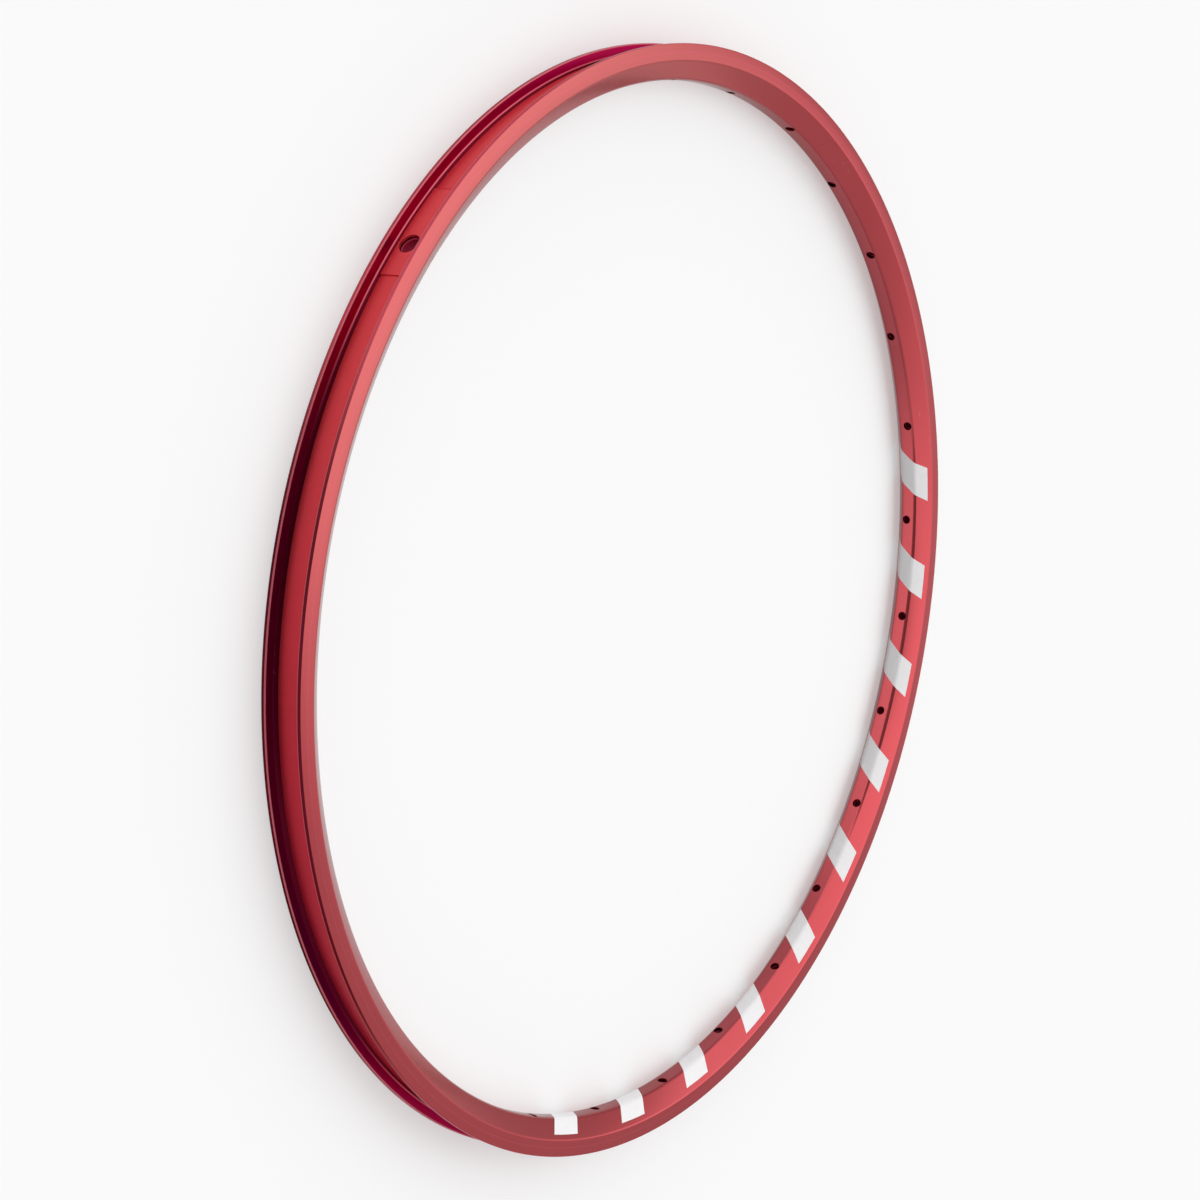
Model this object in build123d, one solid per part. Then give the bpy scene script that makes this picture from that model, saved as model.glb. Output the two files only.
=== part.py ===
from build123d import *
import os
from math import asin, degrees, hypot, sqrt

# Bicycle rim, in millimetres: a hollow double-wall hoop and the strip that lines its tyre bed.
# The axle line is Z, the middle plane is Z = 0, and the valve hole is on +X.
# Every wall that has holes follows a ball round the hoop's middle, and every hole points at
# that middle, so each hole's edge is a plain circle.

# Hoop section
bead_seat_diameter = 451.0
flange_height = 4.8  # bead seat to flange top
rim_width = 18.0
rim_depth = 14.4  # flange top to spoke bed
sidewall_height = 6.8  # upright part of each side, above the slant
spoke_bed_width = 6.8

# Walls
flange_top_thickness = 1.7
flange_foot_thickness = 2.3
slant_thickness = 1.3
spoke_bed_thickness = 2.1
tyre_bed_thickness = 1.3

# Slopes at the flanges' feet and tops
flange_foot_slope = 1.25  # rise of the slope beside the strip
flange_inner_chamfer = 0.5

# Holes
spoke_count = 28
spoke_hole_diameter = 4.2
spoke_stagger = 1.0  # each hole's distance from the middle plane
valve_hole_diameter = 8.3

# Strip
strip_thickness = 0.5
strip_side_gap = 0.25  # from the strip's edge to the slope beside it
strip_bed_gap = 0.1  # adhesive under the strip
strip_lap_past_valve = 14.0  # from the valve hole's middle to the end of the upper layer
strip_lap_length = 42.0
strip_lap_taper = 6.0  # the upper layer's rise over the end of the lower one
strip_feather = 0.08  # upper layer's thickness where the rise starts

# Radii and half widths that the sizes above set
seat_radius = bead_seat_diameter / 2
top_radius = seat_radius + flange_height
spoke_bed_radius = top_radius - rim_depth
slant_top_radius = top_radius - sidewall_height
half_width = rim_width / 2
bed_half_width = spoke_bed_width / 2
channel_half_width = half_width - flange_foot_thickness
seat_half_width = channel_half_width - flange_foot_slope
strip_half_width = seat_half_width - strip_side_gap
cavity_top_radius = seat_radius - tyre_bed_thickness
cavity_floor_radius = spoke_bed_radius + spoke_bed_thickness
cavity_middle_radius = (cavity_top_radius + cavity_floor_radius) / 2
spoke_pitch = 360 / spoke_count
spoke_tilt = degrees(asin(spoke_stagger / spoke_bed_radius))


def wall_point(radius, offset):
    """Where a wall of this radius is at a distance from the middle plane."""
    return (sqrt(radius**2 - offset**2), offset)


def wall_arc(radius, half):
    """A wall's section, as far as half on both sides of the middle plane."""
    end_angle = degrees(asin(half / radius))
    return CenterArc((0, 0), radius, -end_angle, 2 * end_angle)


def mirrored(side):
    """The same line on the other side of the middle plane."""
    return [(radius, -offset) for radius, offset in side]


def hoop_side():
    """One side of the hoop's outline, from the tyre bed over the flange to the spoke bed."""
    flange_draft = (flange_foot_thickness - flange_top_thickness) / flange_height
    slope_end = channel_half_width + flange_draft * flange_foot_slope
    inner_break = half_width - flange_top_thickness - flange_draft * flange_inner_chamfer
    return [
        wall_point(seat_radius, seat_half_width),
        (seat_radius + flange_foot_slope, slope_end),
        (top_radius - flange_inner_chamfer, inner_break),
        (top_radius, half_width - flange_top_thickness + flange_inner_chamfer),
        (top_radius, half_width),
        (slant_top_radius, half_width),
        wall_point(spoke_bed_radius, bed_half_width),
    ]


def cavity_half(radius):
    """Half the cavity's width at a radius, one slant's thickness inside the slanted faces."""
    slant_rise = slant_top_radius - spoke_bed_radius
    slant_run = half_width - bed_half_width
    shift = slant_thickness * hypot(slant_rise, slant_run) / slant_rise
    return bed_half_width + (radius - spoke_bed_radius) * slant_run / slant_rise - shift


def hoop_section():
    """Hollow section of the hoop, with the radius along X and the axle along Z."""
    side = hoop_side()
    top_half = cavity_half(cavity_top_radius)
    floor_half = cavity_half(cavity_floor_radius)
    with BuildSketch(Plane.XZ) as section:
        with BuildLine():
            wall_arc(seat_radius, seat_half_width)
            Polyline(*side)
            wall_arc(spoke_bed_radius, bed_half_width)
            Polyline(*mirrored(side))
        make_face()
        with BuildLine():
            top = wall_arc(cavity_top_radius, top_half)
            floor = wall_arc(cavity_floor_radius, floor_half)
            Line(top @ 0, floor @ 0)
            Line(top @ 1, floor @ 1)
        make_face(mode=Mode.SUBTRACT)
    return section.sketch


def radial_drill(diameter, end_radius, angle=0, tilt=0):
    """A drill on a line from the hoop's middle, tilted out of the middle plane.

    It starts well inside the spoke bed, so that no two drills meet in the middle.
    """
    grounded = (Align.CENTER, Align.CENTER, Align.MIN)
    reach = Cylinder(diameter / 2, end_radius, align=grounded)
    waste = Cylinder(diameter, spoke_bed_radius - rim_depth, align=grounded)
    return Rot(0, 0, angle) * Rot(0, -tilt, 0) * Rot(0, 90, 0) * (reach - waste)


def valve_drill():
    """The drill for the valve, through both walls and the strip."""
    return radial_drill(valve_hole_diameter, top_radius)


def spoke_drills():
    """Drills for the alternating spoke holes, which stop in the cavity."""
    drills = []
    for index in range(spoke_count):
        angle = (index + 0.5) * spoke_pitch
        tilt = spoke_tilt if index % 2 == 0 else -spoke_tilt
        drills.append(radial_drill(spoke_hole_diameter, cavity_middle_radius, angle, tilt))
    return drills


def rim():
    """The drilled hoop."""
    hoop = revolve(hoop_section(), Axis.Z)
    return hoop - spoke_drills() - valve_drill()


def strip_layer(lift, arc):
    """One layer of the strip over arc degrees from +X, its underside raised by lift."""
    with BuildSketch(Plane.XZ) as section:
        with BuildLine():
            under = wall_arc(seat_radius + lift, strip_half_width)
            over = wall_arc(seat_radius + lift + strip_thickness, strip_half_width)
            Line(under @ 0, over @ 0)
            Line(under @ 1, over @ 1)
        make_face()
    return revolve(section.sketch, Axis.Z, arc)


def strip_lap():
    """The upper layer at the strip's lap: it rises over the lower layer's end and stops past the valve."""
    lap_lift = strip_bed_gap + strip_thickness
    lap_radius = seat_radius + lap_lift
    lap_angle = degrees(strip_lap_length / lap_radius)
    end_angle = degrees(strip_lap_past_valve / lap_radius)
    layer = strip_layer(lap_lift, lap_angle)
    start_face = layer.faces().filter_by(GeomType.PLANE).sort_by(Axis.Y)[0]
    rise_edge = start_face.edges().filter_by(GeomType.CIRCLE).sort_by(Axis.X)[-1]
    rise = strip_thickness - strip_feather
    tapered = chamfer(rise_edge, rise, strip_lap_taper, reference=start_face)
    return Rot(0, 0, end_angle - lap_angle) * tapered


def rim_strip():
    """The strip that lines the tyre bed, with its hole for the valve."""
    return strip_layer(strip_bed_gap, 360) + strip_lap() - valve_drill()


def main():
    os.makedirs("parts", exist_ok=True)
    export_step(rim(), "parts/rim.step")
    export_step(rim_strip(), "parts/rim_strip.step")


main()
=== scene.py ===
import math

import bpy
from mathutils import Matrix, Vector


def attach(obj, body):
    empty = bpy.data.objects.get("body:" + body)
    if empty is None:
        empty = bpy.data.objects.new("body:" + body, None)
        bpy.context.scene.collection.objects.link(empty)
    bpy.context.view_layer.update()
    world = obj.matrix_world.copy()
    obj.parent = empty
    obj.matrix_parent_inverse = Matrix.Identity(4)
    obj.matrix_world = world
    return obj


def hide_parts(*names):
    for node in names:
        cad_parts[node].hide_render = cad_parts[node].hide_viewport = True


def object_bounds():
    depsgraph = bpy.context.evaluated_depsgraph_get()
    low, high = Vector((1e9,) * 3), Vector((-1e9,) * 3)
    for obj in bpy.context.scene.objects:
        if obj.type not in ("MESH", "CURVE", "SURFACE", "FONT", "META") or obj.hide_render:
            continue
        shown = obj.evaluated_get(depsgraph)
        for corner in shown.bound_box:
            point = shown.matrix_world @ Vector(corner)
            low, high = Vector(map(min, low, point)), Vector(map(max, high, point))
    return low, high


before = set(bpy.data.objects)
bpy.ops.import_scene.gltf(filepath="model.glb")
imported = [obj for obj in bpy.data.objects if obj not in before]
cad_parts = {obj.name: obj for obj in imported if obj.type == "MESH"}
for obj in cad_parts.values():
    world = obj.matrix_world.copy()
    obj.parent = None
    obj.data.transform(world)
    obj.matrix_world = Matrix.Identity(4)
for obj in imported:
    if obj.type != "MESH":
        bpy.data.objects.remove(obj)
cad_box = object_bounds()

# Sizes are in millimetres here and become metres where a shape or a finish is made.
# Radii are from the axle line, and half widths are from the middle plane.
MM = 0.001
SAME_PLACE = 1e-6  # metres

# Hoop section
FLANGE_TOP = 230.3
SEAT = 225.5
SLANT_TOP = 223.5
SPOKE_BED = 215.9
HALF_WIDTH = 9.0
FLANGE_INNER_HALF = 7.3
SEAT_HALF = 5.45
BED_HALF = 3.4
BED_CROWN = 0.2
LEDGE_START = 226.58
LEDGE_START_HALF = 6.45
LEDGE_END = 226.75
LEDGE_END_HALF = 6.86

# Roundings of the hoop's edges
LEDGE_START_ROUND = 0.1
LEDGE_END_ROUND = 0.4
FLANGE_INNER_ROUND = 0.38
FLANGE_OUTER_ROUND = 0.14
SLANT_TOP_ROUND = 0.5
BED_EDGE_ROUND = 1.1
BED_CROWN_ROUND = 1.7

# Hollow between the hoop's two walls
HOLLOW_TOP = 224.2
HOLLOW_TOP_HALF = 7.9
HOLLOW_FLOOR = 218.0
HOLLOW_FLOOR_HALF = 3.33
HOLLOW_ROUND = 0.5

# Holes, and the drills that make them
SPOKE_COUNT = 28
SPOKE_PITCH = 2 * math.pi / SPOKE_COUNT
SPOKE_STAGGER = 1.0
SPOKE_TILT = math.asin(SPOKE_STAGGER / SPOKE_BED)
SPOKE_HOLE_RADIUS = 2.1
SPOKE_HOLE_FLARE = 0.06
SPOKE_DRILL_END = 221.0
VALVE_HOLE_RADIUS = 4.15
VALVE_HOLE_FLARE = 0.12
VALVE_DRILL_END = 228.0
HOLE_MOUTH = SPOKE_BED - BED_CROWN
DRILL_LEAD = 6.0
DRILL_SIDES = 48

# Strip
STRIP_BOTTOM = 225.6
STRIP_TOP = 226.1
STRIP_HALF = 5.2
STRIP_EDGE_ROUND = 0.16
STRIP_DRILL_START = 220.0
STRIP_DRILL_END = 232.0
STRIP_DRILL_FLARE = 0.1
LAP_BOTTOM = 225.95
LAP_TOP = 226.6
LAP_LENGTH = 42.0
LAP_PAST_VALVE = 14.0
LAP_TAPER = 6.0
LAP_RISE = 0.42

# Fineness of the meshes
STEPS_PER_SPOKE = 16
HOOP_STEPS = SPOKE_COUNT * STEPS_PER_SPOKE
LAP_STEPS = 64
ROUND_SEGMENTS = 6
SMOOTH_ANGLE = math.radians(32)


# Modelling


def clear_selection():
    """Nothing is left selected, in object mode."""
    if bpy.context.object and bpy.context.object.mode != "OBJECT":
        bpy.ops.object.mode_set(mode="OBJECT")
    bpy.ops.object.select_all(action="DESELECT")


def make_active(piece):
    """The piece alone is selected."""
    clear_selection()
    piece.select_set(True)
    bpy.context.view_layer.objects.active = piece


def pick_points(piece, test):
    """Selects the piece's vertices that pass a test on their place, and stays in edit mode."""
    bpy.ops.object.mode_set(mode="EDIT")
    bpy.ops.mesh.select_mode(type="VERT")
    bpy.ops.mesh.select_all(action="DESELECT")
    bpy.ops.object.mode_set(mode="OBJECT")
    place = piece.matrix_world
    for vertex in piece.data.vertices:
        vertex.select = test(place @ vertex.co)
    bpy.ops.object.mode_set(mode="EDIT")


def at_corner(radius, height):
    """A test for the point of a section at a radius and a height."""
    target = Vector((radius * MM, 0, height * MM))
    return lambda place: (place - target).length < SAME_PLACE


def draw_section(name, corners):
    """A closed line through (radius, height, rounding) corners, drawn by extruding one point."""
    clear_selection()
    start = corners[0]
    bpy.ops.mesh.primitive_plane_add(size=MM, location=(start[0] * MM, 0, start[1] * MM))
    line = bpy.context.object
    line.name = name
    bpy.ops.object.mode_set(mode="EDIT")
    bpy.ops.mesh.select_all(action="SELECT")
    bpy.ops.mesh.merge(type="CENTER")
    for before, after in zip(corners, corners[1:]):
        step = ((after[0] - before[0]) * MM, 0, (after[1] - before[1]) * MM)
        bpy.ops.mesh.extrude_vertices_move(TRANSFORM_OT_translate={"value": step})
    first = at_corner(*corners[0][:2])
    last = at_corner(*corners[-1][:2])
    pick_points(line, lambda place: first(place) or last(place))
    bpy.ops.mesh.edge_face_add()
    for radius, height, rounding in corners:
        if rounding:
            pick_points(line, at_corner(radius, height))
            bpy.ops.mesh.bevel(
                offset=rounding * MM,
                segments=ROUND_SEGMENTS,
                affect="VERTICES",
                clamp_overlap=False,
            )
    return line


def spin_section(line, steps, sweep=2 * math.pi):
    """Turns a section into a hoop, or into an arc of one, round the axle line."""
    bpy.ops.mesh.select_all(action="SELECT")
    bpy.ops.mesh.spin(steps=steps, angle=sweep, center=(0, 0, 0), axis=(0, 0, 1))
    bpy.ops.mesh.select_all(action="SELECT")
    bpy.ops.mesh.remove_doubles(threshold=SAME_PLACE)
    bpy.ops.mesh.normals_make_consistent(inside=False)
    bpy.ops.object.mode_set(mode="OBJECT")
    make_active(line)
    bpy.ops.object.transform_apply(location=True, rotation=True, scale=True)
    return line


def mirrored(side):
    """The same corners on the other side of the middle plane, walked back."""
    return [(radius, -height, rounding) for radius, height, rounding in reversed(side)]


def combine(piece, other, operation):
    """Adds or takes away another piece, which is used up."""
    make_active(piece)
    joint = piece.modifiers.new("combine", "BOOLEAN")
    joint.operation = operation
    joint.solver = "EXACT"
    joint.object = other
    bpy.ops.object.modifier_apply(modifier=joint.name)
    bpy.data.objects.remove(other)


def drill(name, radius, mouth, end, flare):
    """A drill along +X with a countersunk mouth, from inside the hoop out to a radius."""
    clear_selection()
    start = mouth + flare
    bpy.ops.mesh.primitive_cylinder_add(
        vertices=DRILL_SIDES,
        radius=radius * MM,
        depth=(end - start) * MM,
        location=((start + end) / 2 * MM, 0, 0),
        rotation=(0, math.pi / 2, 0),
    )
    bit = bpy.context.object
    bit.name = name
    bpy.ops.object.transform_apply(location=True, rotation=True, scale=True)
    pick_points(bit, lambda place: abs(place.x - start * MM) < SAME_PLACE)
    widen = (radius + 2 * flare) / radius
    bpy.ops.mesh.extrude_region_move(TRANSFORM_OT_translate={"value": (-2 * flare * MM, 0, 0)})
    bpy.ops.transform.resize(value=(1, widen, widen), center_override=((start - 2 * flare) * MM, 0, 0))
    bpy.ops.mesh.extrude_region_move(TRANSFORM_OT_translate={"value": (-DRILL_LEAD * MM, 0, 0)})
    bpy.ops.mesh.select_all(action="SELECT")
    bpy.ops.mesh.normals_make_consistent(inside=False)
    bpy.ops.object.mode_set(mode="OBJECT")
    return bit


def hoop_drills():
    """The hoop's drills as one piece: the valve's, and one for spokes that is copied to each hole's place."""
    pattern = drill("spoke_drill", SPOKE_HOLE_RADIUS, HOLE_MOUTH, SPOKE_DRILL_END, SPOKE_HOLE_FLARE)
    copies = [drill("valve_drill", VALVE_HOLE_RADIUS, HOLE_MOUTH, VALVE_DRILL_END, VALVE_HOLE_FLARE)]
    for index in range(SPOKE_COUNT):
        make_active(pattern)
        bpy.ops.object.duplicate(linked=False)
        copy = bpy.context.object
        side = 1 if index % 2 == 0 else -1
        turn = Matrix.Rotation((index + 0.5) * SPOKE_PITCH, 4, "Z")
        tilt = Matrix.Rotation(-side * SPOKE_TILT, 4, "Y")
        copy.matrix_world = turn @ tilt
        copies.append(copy)
    bpy.data.objects.remove(pattern)
    make_active(copies[0])
    for copy in copies:
        copy.select_set(True)
    bpy.ops.object.join()
    joined = bpy.context.object
    bpy.ops.object.transform_apply(location=True, rotation=True, scale=True)
    return joined


def smooth(piece):
    """Smooth shading that keeps the real edges."""
    make_active(piece)
    bpy.ops.object.shade_smooth_by_angle(angle=SMOOTH_ANGLE)


def make_rim():
    """The hollow hoop with its spoke holes and valve hole."""
    side = [
        (SEAT, SEAT_HALF, 0),
        (LEDGE_START, LEDGE_START_HALF, LEDGE_START_ROUND),
        (LEDGE_END, LEDGE_END_HALF, LEDGE_END_ROUND),
        (FLANGE_TOP, FLANGE_INNER_HALF, FLANGE_INNER_ROUND),
        (FLANGE_TOP, HALF_WIDTH, FLANGE_OUTER_ROUND),
        (SLANT_TOP, HALF_WIDTH, SLANT_TOP_ROUND),
        (SPOKE_BED, BED_HALF, BED_EDGE_ROUND),
    ]
    crown = [(SPOKE_BED - BED_CROWN, 0, BED_CROWN_ROUND)]
    hollow_side = [
        (HOLLOW_TOP, HOLLOW_TOP_HALF, HOLLOW_ROUND),
        (HOLLOW_FLOOR, HOLLOW_FLOOR_HALF, HOLLOW_ROUND),
    ]
    hoop = spin_section(draw_section("rim_hoop", side + crown + mirrored(side)), HOOP_STEPS)
    hollow = spin_section(draw_section("rim_hollow", hollow_side + mirrored(hollow_side)), HOOP_STEPS)
    combine(hoop, hollow, "DIFFERENCE")
    combine(hoop, hoop_drills(), "DIFFERENCE")
    smooth(hoop)
    return hoop


def strip_corners(bottom, top):
    """The strip's section between two radii, with its upper edges eased."""
    side = [(bottom, STRIP_HALF, 0), (top, STRIP_HALF, STRIP_EDGE_ROUND)]
    return side + mirrored(side)


def make_lap():
    """The upper end of the strip: it rises over the lower end and stops past the valve hole."""
    lap_turn = LAP_LENGTH / STRIP_TOP
    end_turn = LAP_PAST_VALVE / STRIP_TOP
    section = draw_section("strip_lap", strip_corners(LAP_BOTTOM, LAP_TOP))
    lap = spin_section(section, LAP_STEPS, -lap_turn)
    bpy.ops.object.mode_set(mode="EDIT")
    bpy.ops.mesh.select_all(action="SELECT")
    bpy.ops.mesh.fill_holes(sides=0)
    bpy.ops.mesh.select_all(action="SELECT")
    bpy.ops.mesh.normals_make_consistent(inside=False)
    bpy.ops.mesh.bisect(
        plane_co=(STRIP_TOP * MM, 0, 0),
        plane_no=(LAP_TAPER, -LAP_RISE, 0),
        use_fill=True,
        clear_outer=True,
    )
    bpy.ops.object.mode_set(mode="OBJECT")
    lap.matrix_world = Matrix.Rotation(end_turn - lap_turn, 4, "Z")
    make_active(lap)
    bpy.ops.object.transform_apply(location=True, rotation=True, scale=True)
    return lap


def strip_drill():
    """The drill for the strip's hole, with its flare below the strip."""
    return drill("strip_drill", VALVE_HOLE_RADIUS, STRIP_DRILL_START, STRIP_DRILL_END, STRIP_DRILL_FLARE)


def make_strip():
    """The strip round the tyre bed, lapped and with its hole for the valve."""
    section = draw_section("rim_strip_band", strip_corners(STRIP_BOTTOM, STRIP_TOP))
    strip = spin_section(section, HOOP_STEPS)
    combine(strip, make_lap(), "UNION")
    combine(strip, strip_drill(), "DIFFERENCE")
    smooth(strip)
    return strip


# Finishes

# Colours of the anodising, and of the light and shade painted on it
RED = (0.46, 0.030, 0.040, 1)
HAZY_RED = (0.51, 0.037, 0.047, 1)
LINE_RED = (0.42, 0.022, 0.034, 1)
# Painted light: a paler red on the valve's side of the hoop
PAINTED_PALE_RED = (0.47, 0.066, 0.064, 1)
# Painted shade and red interreflection on the tyre channel's walls, deepest on one side of the hoop
CHANNEL_SHADE_RED = (0.38, 0.0012, 0.058, 1)
DEEPEST_CHANNEL_SHADE_RED = (0.2, 0.0006, 0.08, 1)
# Painted shade at the channel's foot, beside the strip
CHANNEL_FOOT_SHADE_RED = (0.09, 0.0006, 0.005, 1)
# Painted highlight on the ledge in the channel and on the flange's edges
HIGHLIGHT_PINK = (0.56, 0.05, 0.095, 1)
# Painted light on one side of the spoke bed
PAINTED_BRIGHT_BED_RED = (0.66, 0.07, 0.085, 1)
# Painted shade on the spoke bed, and a painted dark reflection on the flange's tops
PAINTED_DARK_RED = (0.08, 0.001, 0.012, 1)
# Painted highlight on the flange's inner lip
LIP_HIGHLIGHT_PINK = (0.7, 0.17, 0.2, 1)
RUB_PINK = (0.72, 0.3, 0.3, 1)
# Painted light: a pale red that lightens the hollow seen through the holes
HOLLOW_LIGHTENED_RED = (0.9, 0.12, 0.28, 1)
ANODISED_SHEEN = (0.5, 0.3, 0.32, 1)

# Colours of the print and the strip, with the strip's painted light and shade
PRINT_WHITE = (0.9, 0.9, 0.91, 1)
SPOTTED_WHITE = (0.95, 0.95, 0.955, 1)
# Painted light and shade: lit and shaded copies of the strip's red
STRIP_PAINTED_LIT = (0.75, 0.056, 0.068, 1)
HAZY_STRIP_PAINTED_LIT = (0.81, 0.064, 0.076, 1)
STRIP_PAINTED_SHADE = (0.48, 0.01, 0.031, 1)
HAZY_STRIP_PAINTED_SHADE = (0.53, 0.014, 0.037, 1)
STRIP_DUST = (0.6, 0.35, 0.35, 1)
STRIP_SHEEN = (1.0, 0.75, 0.78, 1)

# Directions of the painted light and shade
PAINTED_PALE_WAY = (0.2, -0.04, 0.0)
PAINTED_SHADE_WAY = (0.668, 0.744, 0.0)
PAINTED_BRIGHT_WAY = (-0.882, -0.471, 0.0)
STRIP_PAINTED_SHADE_WAY = (-0.105, 0.995, 0.0)

# Where the finishes of the hoop change
CHANNEL_FLOOR = 225.0
CHANNEL_HALF = 7.6
LEDGE_FADE = 226.48
LEDGE_TOP = 226.9
BED_FADE = 216.5
LIP_FADE = 229.75
LIP_RADIUS = 229.9
LIP_INNER_HALF = 6.5
LIP_OUTER_HALF = 7.75
EDGE_RADIUS = 230.2
HOLLOW_FINISH_FLOOR = 217.6
HOLLOW_FINISH_TOP = 224.8
HOLLOW_WIDENING = 0.737  # half width gained with the radius
HOLLOW_WIDENING_SHIFT = 156.8

# Printed dashes, counted in spoke pitches from -X
DASH_START = -5.45
DASH_END = 4.55
DASH_SHARE = 0.17  # half a dash's length
DASH_SLANT = 18.0  # pitches for each metre of height
DASH_COUNT_SHIFT = 64.5  # keeps the count above zero and puts a dash in the middle of each pitch
DASH_HALF_WIDTH = 7.6
DASH_REACH = 222.6

# Fine patterns
LINE_DRIFT = 26.0  # how fast the drawn lines change along the hoop
BUMP_DEPTH = 0.1

# Sockets of a Mix node that is set to colours
MIX_SHARE = 0
MIX_FIRST = 6
MIX_SECOND = 7
MIX_RESULT = 2


class Wire:
    """A shader value that adds its own Math node wherever it is used in an expression."""

    def __init__(self, finish, socket):
        self.finish = finish
        self.socket = socket

    def __add__(self, other):
        return self.finish.maths("ADD", self, other)

    def __sub__(self, other):
        return self.finish.maths("SUBTRACT", self, other)

    def __rsub__(self, other):
        return self.finish.maths("SUBTRACT", other, self)

    def __mul__(self, other):
        return self.finish.maths("MULTIPLY", self, other)

    def __truediv__(self, other):
        return self.finish.maths("DIVIDE", self, other)

    def __pow__(self, other):
        return self.finish.maths("POWER", self, other)

    def __lt__(self, other):
        return self.finish.maths("LESS_THAN", self, other)

    def __gt__(self, other):
        return self.finish.maths("GREATER_THAN", self, other)

    def __abs__(self):
        return self.finish.maths("ABSOLUTE", self)

    __radd__ = __add__
    __rmul__ = __mul__


class Finish:
    """The node tree of one surface finish, or of the studio's light."""

    def __init__(self, tree):
        self.tree = tree
        tree.nodes.clear()

    def node(self, kind, settings=None, inputs=None, output=0):
        """Adds a node, with its settings first and then the values or links of its sockets."""
        made = self.tree.nodes.new(kind)
        for name, value in (settings or {}).items():
            setattr(made, name, value)
        for name, value in (inputs or {}).items():
            if isinstance(value, Wire):
                self.tree.links.new(value.socket, made.inputs[name])
            else:
                made.inputs[name].default_value = value
        return Wire(self, made.outputs[output]) if made.outputs else made

    def outputs(self, kind, names, inputs=None):
        """Adds a node and gives several of its outputs."""
        made = self.node(kind, inputs=inputs).socket.node
        return [Wire(self, made.outputs[name]) for name in names]

    def maths(self, operation, *values):
        """One Math node."""
        return self.node("ShaderNodeMath", {"operation": operation}, dict(enumerate(values)))

    def blend(self, share, first, second):
        """Mixes two colours."""
        inputs = {MIX_SHARE: share, MIX_FIRST: first, MIX_SECOND: second}
        return self.node("ShaderNodeMix", {"data_type": "RGBA"}, inputs, MIX_RESULT)

    def cloud(self, place, scale, detail):
        """Noise from 0 to 1 at a place."""
        inputs = {"Vector": place, "Scale": scale, "Detail": detail}
        return self.node("ShaderNodeTexNoise", {"noise_dimensions": "3D"}, inputs)

    def step(self, value, low, high):
        """A smooth rise from 0 to 1 between two values."""
        inputs = {"Value": value, "From Min": low, "From Max": high}
        return self.node("ShaderNodeMapRange", {"interpolation_type": "SMOOTHSTEP"}, inputs)

    def along(self, vector, direction):
        """How far a vector points in a direction."""
        settings = {"operation": "DOT_PRODUCT"}
        return self.node("ShaderNodeVectorMath", settings, {0: vector, 1: direction}, "Value")

    def place(self):
        """Object coordinates as a vector and as X, Y and Z, and the radius from the axle line."""
        spot = self.node("ShaderNodeTexCoord", output="Object")
        x, y, z = self.outputs("ShaderNodeSeparateXYZ", "XYZ", {"Vector": spot})
        radius = (x * x + y * y) ** 0.5
        return spot, x, y, z, radius

    def drawn_lines(self, x, y, z, radius, fine):
        """Faint lines that run round the hoop, as an extrusion has."""
        inputs = {"X": radius * fine, "Y": z * fine, "Z": x * LINE_DRIFT}
        spot = self.node("ShaderNodeCombineXYZ", inputs=inputs)
        inputs = {"Vector": spot, "W": y * LINE_DRIFT, "Scale": 1.0, "Detail": 2.0}
        return self.node("ShaderNodeTexNoise", {"noise_dimensions": "4D"}, inputs)

    def bump(self, height, strength):
        """A shading normal from a fine relief."""
        inputs = {"Strength": strength, "Distance": BUMP_DEPTH * MM, "Height": height}
        return self.node("ShaderNodeBump", inputs=inputs)

    def surface(self, inputs):
        """The shader of the finish."""
        shader = self.node("ShaderNodeBsdfPrincipled", inputs=inputs)
        self.node("ShaderNodeOutputMaterial", inputs={"Surface": shader})


def new_finish(name):
    """A material and its finish."""
    material = bpy.data.materials.new(name)
    material.use_nodes = True
    return material, Finish(material.node_tree)


def hollow_mask(z, radius):
    """1 on the walls of the hollow, which widens outwards."""
    half = radius * HOLLOW_WIDENING - HOLLOW_WIDENING_SHIFT * MM
    return (abs(z) < half) * (radius > HOLLOW_FINISH_FLOOR * MM) * (radius < HOLLOW_FINISH_TOP * MM)


def dash_mask(finish, x, y, z, radius):
    """1 on the slanted dashes, which lie between the holes across from the valve hole."""
    turn = finish.maths("ARCTAN2", y * -1.0, x * -1.0) / SPOKE_PITCH
    count = turn + z * DASH_SLANT + DASH_COUNT_SHIFT
    along = abs(finish.maths("FRACT", count) - 0.5)
    across = (abs(z) < DASH_HALF_WIDTH * MM) * (radius < DASH_REACH * MM)
    span = (turn > DASH_START) * (turn < DASH_END)
    return (along < DASH_SHARE) * across * span


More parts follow.
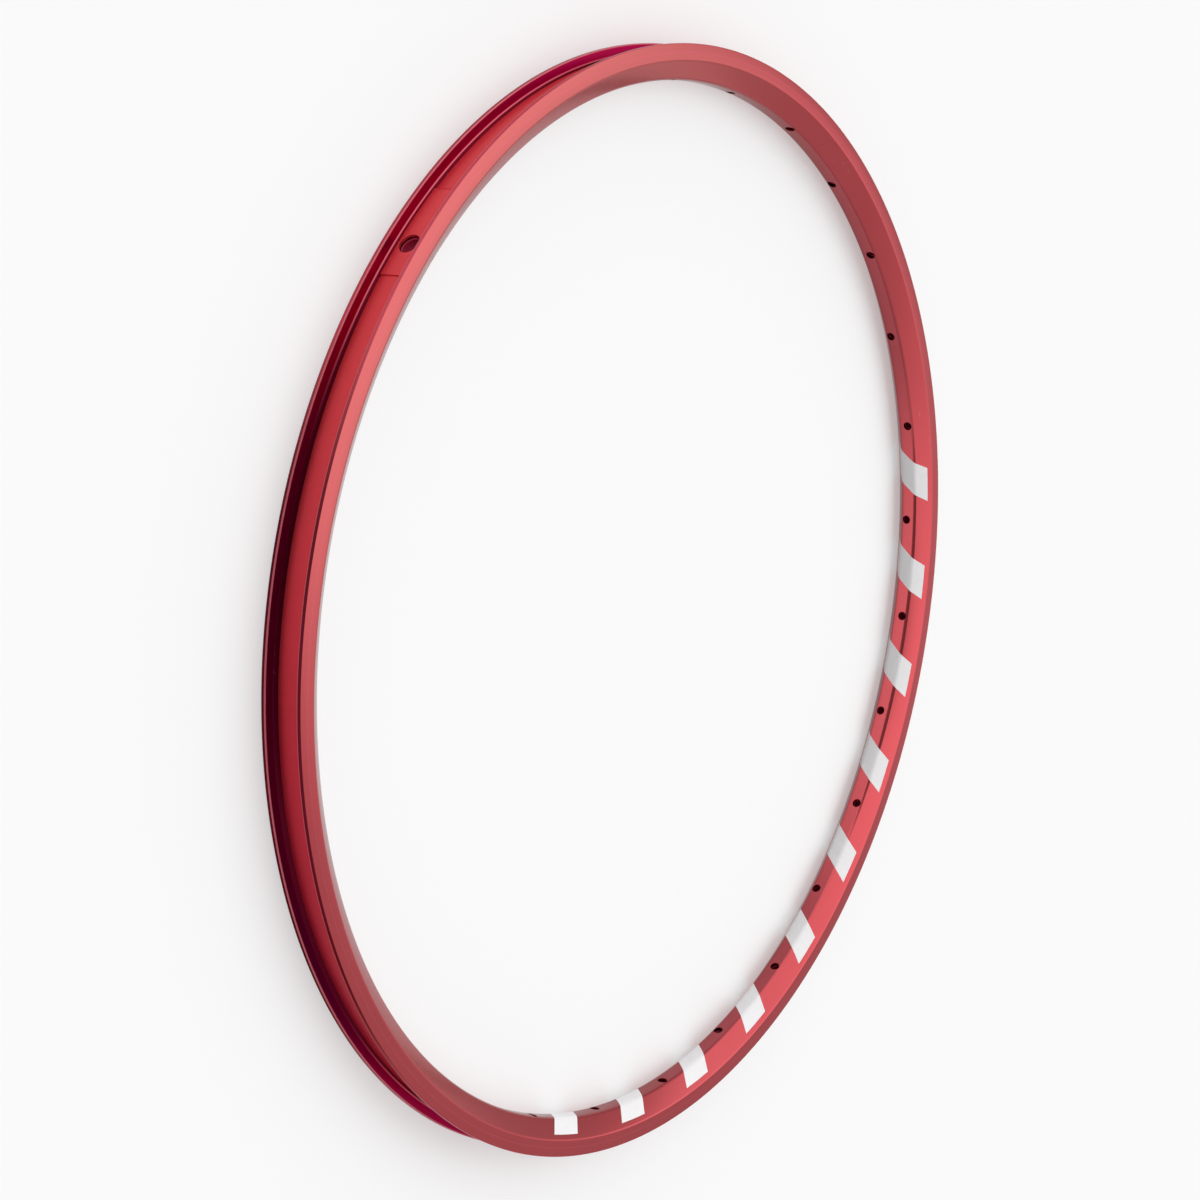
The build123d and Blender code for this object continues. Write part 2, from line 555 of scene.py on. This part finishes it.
def anodised_red():
    """Satin red anodising with plain white dashes printed across the spoke bed on one side."""
    material, finish = new_finish("anodised_red")
    spot, x, y, z, radius = finish.place()
    lines = finish.drawn_lines(x, y, z, radius, fine=5200.0)
    grain = finish.cloud(spot, scale=5200.0, detail=2.0)
    haze = finish.cloud(spot, scale=34.0, detail=4.0)
    spots = finish.cloud(spot, scale=420.0, detail=3.0)
    hollow = hollow_mask(z, radius)
    dash = dash_mask(finish, x, y, z, radius) * (1.0 - hollow)

    # Small rubs along the drawn lines, in scattered patches
    rub_lines = finish.step(finish.drawn_lines(x, y, z, radius, fine=900.0), 0.66, 0.74)
    rubs = rub_lines * finish.step(spots, 0.5, 0.62) * finish.step(haze, 0.5, 0.6)

    # Parts of the section: the flange's edge and its inner lip, which has a painted highlight, the tyre
    # channel and the ledge in it, and the spoke bed
    rim_edge = finish.step(radius, LIP_RADIUS * MM, EDGE_RADIUS * MM)
    # Painted highlight on the flange's inner lip
    lip_highlight = finish.step(radius, LIP_FADE * MM, LIP_RADIUS * MM)
    lip_highlight = lip_highlight * (abs(z) > LIP_INNER_HALF * MM) * (abs(z) < LIP_OUTER_HALF * MM)
    channel = (radius > CHANNEL_FLOOR * MM) * (abs(z) < CHANNEL_HALF * MM)
    below_wall = radius < LEDGE_TOP * MM
    ledge = finish.step(radius, LEDGE_FADE * MM, LEDGE_START * MM) * below_wall
    spoke_bed = 1.0 - finish.step(radius, SPOKE_BED * MM, BED_FADE * MM)

    # Painted light and shade round the hoop: a painted paler red by the valve hole, the deepest
    # painted shade in the channel 50 degrees on, and a painted brighter spoke bed across from there
    # Painted light: the red is paler on the valve's side of the hoop
    pale = finish.step(finish.along(spot, PAINTED_PALE_WAY) / radius, 0.1, 0.2)
    # Painted shade: how far round the hoop towards the channel's deepest painted shade
    painted_shade_side = finish.along(spot, PAINTED_SHADE_WAY) / radius
    painted_shade = finish.step(painted_shade_side, 0.76, 0.95)
    wall = channel * (1.0 - ledge * (1.0 - finish.step(painted_shade_side, 0.7, 0.9)))
    # Painted light: where the spoke bed is painted brighter
    painted_bright_bed = finish.step(finish.along(spot, PAINTED_BRIGHT_WAY) / radius, 0.74, 1.0)
    # Painted highlight on the ledge, and on the flange's edges away from the painted shade
    painted_highlight = finish.maths("MAXIMUM", ledge * (1.0 - wall), rim_edge * (1.0 - painted_shade))
    # Painted shade on the spoke bed away from its painted bright side, and a painted dark reflection on the
    # flange's tops, deepest on the painted shade side
    shaded_bed = spoke_bed * (1.0 - painted_bright_bed)
    painted_dark = finish.maths("MAXIMUM", shaded_bed * 0.4, rim_edge * (0.05 + painted_shade * 0.85))

    red = finish.blend(haze, RED, HAZY_RED)
    red = finish.blend(lines * 0.3, red, LINE_RED)
    # Painted light: paler on the valve's side of the hoop
    red = finish.blend(pale * 0.9, red, PAINTED_PALE_RED)
    # Painted shade and red interreflection on the channel's walls
    red = finish.blend(wall, red, finish.blend(painted_shade, CHANNEL_SHADE_RED, DEEPEST_CHANNEL_SHADE_RED))
    # Painted shade at the channel's foot
    red = finish.blend(wall * below_wall * 0.92, red, CHANNEL_FOOT_SHADE_RED)
    # Painted highlight on the ledge and the flange's edges
    red = finish.blend(painted_highlight * 0.7, red, HIGHLIGHT_PINK)
    # Painted light on the spoke bed
    red = finish.blend(spoke_bed * painted_bright_bed, red, PAINTED_BRIGHT_BED_RED)
    # Painted shade and painted dark reflection
    red = finish.blend(painted_dark, red, PAINTED_DARK_RED)
    # Painted highlight on the flange's inner lip, which is also made less metallic
    red = finish.blend(lip_highlight * 0.85, red, LIP_HIGHLIGHT_PINK)
    red = finish.blend(rubs * 0.2, red, RUB_PINK)
    # Painted light in the hollow, seen through the holes
    red = finish.blend(hollow, red, HOLLOW_LIGHTENED_RED)
    white = finish.blend(spots, PRINT_WHITE, SPOTTED_WHITE)

    # The hollow's finish is dull, and the coat is thinner on the print, the edges and the channel
    edge_loss = rim_edge * (0.35 + painted_shade * 0.3)
    finish.surface({
        "Base Color": finish.blend(dash, red, white),
        "Metallic": 1.0 - dash - lip_highlight * 0.6 - hollow,
        "Roughness": 0.17 + haze * 0.05 + lines * 0.05 + rubs * 0.1 + dash * 0.2 + channel * 0.14,
        "Coat Weight": 0.7 - dash * 0.3 - edge_loss - wall * 0.66 - hollow * 0.7,
        "Coat Roughness": 0.2,
        "Coat IOR": 1.65,
        "Specular Tint": ANODISED_SHEEN,
        "Normal": finish.bump(grain * 0.5 + lines * 0.5, strength=0.06),
    })
    return material


def strip_red():
    """The strip's smooth red plastic, with painted shade on one side of the hoop."""
    material, finish = new_finish("strip_red")
    spot, x, y, z, radius = finish.place()
    lines = finish.drawn_lines(x, y, z, radius, fine=2600.0)
    haze = finish.cloud(spot, scale=60.0, detail=4.0)
    dust = finish.cloud(spot, scale=1800.0, detail=2.0)
    # Painted shade on one side of the hoop
    painted_shade = finish.step(finish.along(spot, STRIP_PAINTED_SHADE_WAY) / radius, -0.2, 1.0)
    light = finish.blend(haze, STRIP_PAINTED_LIT, HAZY_STRIP_PAINTED_LIT)
    dark = finish.blend(haze, STRIP_PAINTED_SHADE, HAZY_STRIP_PAINTED_SHADE)
    red = finish.blend(painted_shade, light, dark)
    red = finish.blend(finish.step(dust, 0.68, 0.78) * 0.12, red, STRIP_DUST)
    finish.surface({
        "Base Color": red,
        "Metallic": 0.65,
        "Roughness": 0.34 + haze * 0.08,
        "Specular Tint": STRIP_SHEEN,
        "Normal": finish.bump(lines * 0.6 + dust * 0.4, strength=0.08),
    })
    return material


# Studio

WHITE = (1, 1, 1, 1)
FLOOR_GREY = (0.6, 0.6, 0.6, 1)
FLOOR_GLOW = 0.38
FLOOR_SIZE = 9  # metres

# Directions in the room, and the levels of its light
ACROSS_ROOM = (0.58, -0.81, -0.12)
CAMERA_SIDE = (0.71, 0.43, 0.56)
ROOM_LIGHT = 0.66
SIDE_LIGHT = 0.1
NEAR_SIDE_LIGHT = 0.93
FAR_PATCH_LIGHT = 0.28
FAR_CORNER_LOSS = 0.15
SIDE_END_LOSS = 0.16
CAMERA_SIDE_LOSS = 0.85

# Camera
SENSOR_WIDTH = 36.0
FOCAL_LENGTH = 67.388
SHIFT_X = -0.03186
SHIFT_Y = -0.07151
CAMERA_PLACE = (0.695195, 0.380594, 0.516367)
CAMERA_RIGHT = (-0.401178, -0.408298, 0.819969)
CAMERA_UP = (0.581047, -0.805448, -0.116784)


def pale_floor():
    """The floor's finish: pale, and a little brighter to the camera and in reflections."""
    material, finish = new_finish("pale_floor")
    names = ["Is Camera Ray", "Is Glossy Ray", "Is Transmission Ray"]
    camera, glossy, transmission = finish.outputs("ShaderNodeLightPath", names)
    seen = finish.maths("MINIMUM", camera + glossy + transmission, 1.0)
    matt = finish.node("ShaderNodeBsdfDiffuse", inputs={"Color": FLOOR_GREY})
    glow = finish.node("ShaderNodeEmission", inputs={"Color": WHITE, "Strength": seen * FLOOR_GLOW})
    both = finish.node("ShaderNodeAddShader", inputs={0: matt, 1: glow})
    finish.node("ShaderNodeOutputMaterial", inputs={"Surface": both})
    return material


def make_floor():
    """The floor that the rim lies on."""
    clear_selection()
    bpy.ops.mesh.primitive_plane_add(size=FLOOR_SIZE, location=(0, 0, cad_box[0][2]))
    floor = bpy.context.object
    floor.name = "floor"
    floor.data.materials.append(pale_floor())
    bpy.ops.object.transform_apply(location=True, rotation=True, scale=True)


def light_world():
    """Soft light that is stronger from one side of the room and weak from the camera's side."""
    world = bpy.data.worlds.new("studio")
    bpy.context.scene.world = world
    world.use_nodes = True
    finish = Finish(world.node_tree)
    way = finish.node("ShaderNodeTexCoord", output="Generated")
    across = finish.along(way, ACROSS_ROOM)
    near = finish.along(way, CAMERA_SIDE)

    # The lit side, which reaches overhead, and the line where it ends at the back
    overhead = finish.step(across + near * 0.25, -0.8, 0.05) * finish.step(near, -0.1, 0.25)
    lit = finish.maths("MAXIMUM", finish.step(across, -0.31, -0.11), overhead)
    straight_end = finish.step(near, -0.48, -0.29)
    slanted_end = finish.step(near - across * 0.35, -0.5, -0.29)
    end = finish.maths("MINIMUM", straight_end, slanted_end)

    # A paler patch and a darker corner at the back
    patch = (1.0 - finish.step(across, -0.1, 0.2)) * (1.0 - finish.step(near, -0.64, -0.5))
    corner = finish.step(across, 0.0, 0.15) * (1.0 - finish.step(near, -0.6, -0.35))

    side = lit * (SIDE_LIGHT + NEAR_SIDE_LIGHT * end)
    level = ROOM_LIGHT + side + FAR_PATCH_LIGHT * patch - FAR_CORNER_LOSS * corner
    level = level * (1.0 - SIDE_END_LOSS * finish.step(across, 0.18, 0.42))
    level = level * (1.0 - CAMERA_SIDE_LOSS * finish.step(near, 0.7, 0.82))
    sky = finish.node("ShaderNodeBackground", inputs={"Color": WHITE, "Strength": level})
    finish.node("ShaderNodeOutputWorld", inputs={"Surface": sky})


def add_camera():
    """The camera over the near side of the rim, rolled as the photograph is."""
    lens = bpy.data.cameras.new("camera")
    lens.sensor_width = SENSOR_WIDTH
    lens.lens = FOCAL_LENGTH
    lens.shift_x = SHIFT_X
    lens.shift_y = SHIFT_Y
    camera = bpy.data.objects.new("camera", lens)
    right = Vector(CAMERA_RIGHT)
    up = Vector(CAMERA_UP)
    back = right.cross(up)
    turn = Matrix((right, up, back)).transposed()
    camera.matrix_world = Matrix.Translation(CAMERA_PLACE) @ turn.to_4x4()
    bpy.context.scene.collection.objects.link(camera)
    bpy.context.scene.camera = camera


def main():
    """Makes the rim and its strip, and the studio round them."""
    rim = make_rim()
    rim.data.materials.clear()
    rim.data.materials.append(anodised_red())
    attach(rim, "root")
    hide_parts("rim")

    strip = make_strip()
    strip.data.materials.clear()
    strip.data.materials.append(strip_red())
    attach(strip, "root")
    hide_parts("rim_strip")

    make_floor()
    light_world()
    add_camera()
    bpy.context.scene.view_settings.view_transform = "Standard"


main()
